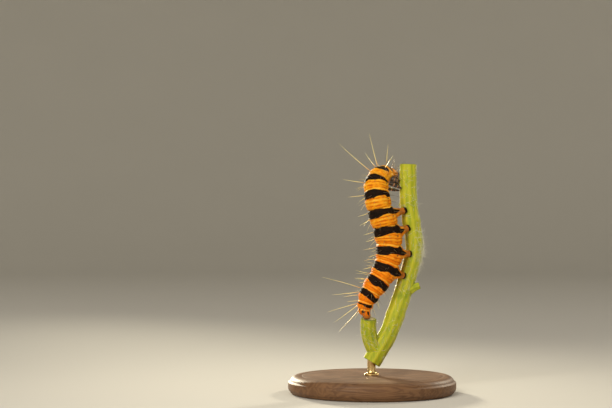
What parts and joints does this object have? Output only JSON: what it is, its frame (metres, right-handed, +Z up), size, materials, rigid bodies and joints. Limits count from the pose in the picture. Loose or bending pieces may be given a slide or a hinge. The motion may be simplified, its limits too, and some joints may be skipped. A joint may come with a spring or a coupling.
{
  "type": "cinnabar moth larva",
  "caption": "Life-size still model of a banded moth larva gripping a short cut length of plant stem, held up by a rod on a small round display stand.",
  "frame": {"origin": "centre of the stand base's underside, at the middle of the model's box", "axes": "+Z up, +X to the right of the picture, where the stem is, +Y away from the camera. The larva's back faces -X and its head is at the top."},
  "size_m": [0.024, 0.024, 0.0327],
  "materials": {
    "larva_skin": "soft wrinkled skin, orange with black bands and pale bristles",
    "head_shell": "hard shiny head shell, almost black",
    "leg_shell": "hard shiny shell of the legs and feelers, dark brown",
    "eye": "polished black",
    "stem_green": "ribbed green plant stem with fine down",
    "stand_wood": "dark polished wood",
    "stand_brass": "satin"
  },
  "bodies": {
    "root": {"abdomen_1": "larva_skin", "abdomen_10": "larva_skin", "abdomen_2": "larva_skin", "abdomen_3": "larva_skin", "abdomen_4": "larva_skin", "abdomen_5": "larva_skin", "abdomen_6": "larva_skin", "abdomen_7": "larva_skin", "abdomen_8": "larva_skin", "abdomen_9": "larva_skin", "anal_proleg_left": "larva_skin", "anal_proleg_right": "larva_skin", "antenna_left": "leg_shell", "antenna_right": "leg_shell", "eyes_left": "eye", "eyes_right": "eye", "head": "head_shell", "leg_1_left": "leg_shell", "leg_1_right": "leg_shell", "leg_2_left": "leg_shell", "leg_2_right": "leg_shell", "leg_3_left": "leg_shell", "leg_3_right": "leg_shell", "mandible_left": "head_shell", "mandible_right": "head_shell", "mesothorax": "larva_skin", "metathorax": "larva_skin", "perch_side_shoot": "stem_green", "perch_stem": "stem_green", "proleg_3_left": "larva_skin", "proleg_3_right": "larva_skin", "proleg_4_left": "larva_skin", "proleg_4_right": "larva_skin", "proleg_5_left": "larva_skin", "proleg_5_right": "larva_skin", "proleg_6_left": "larva_skin", "proleg_6_right": "larva_skin", "prothorax": "larva_skin", "stand_base": "stand_wood", "stand_rod": "stand_brass"}
  },
  "joints": []
}
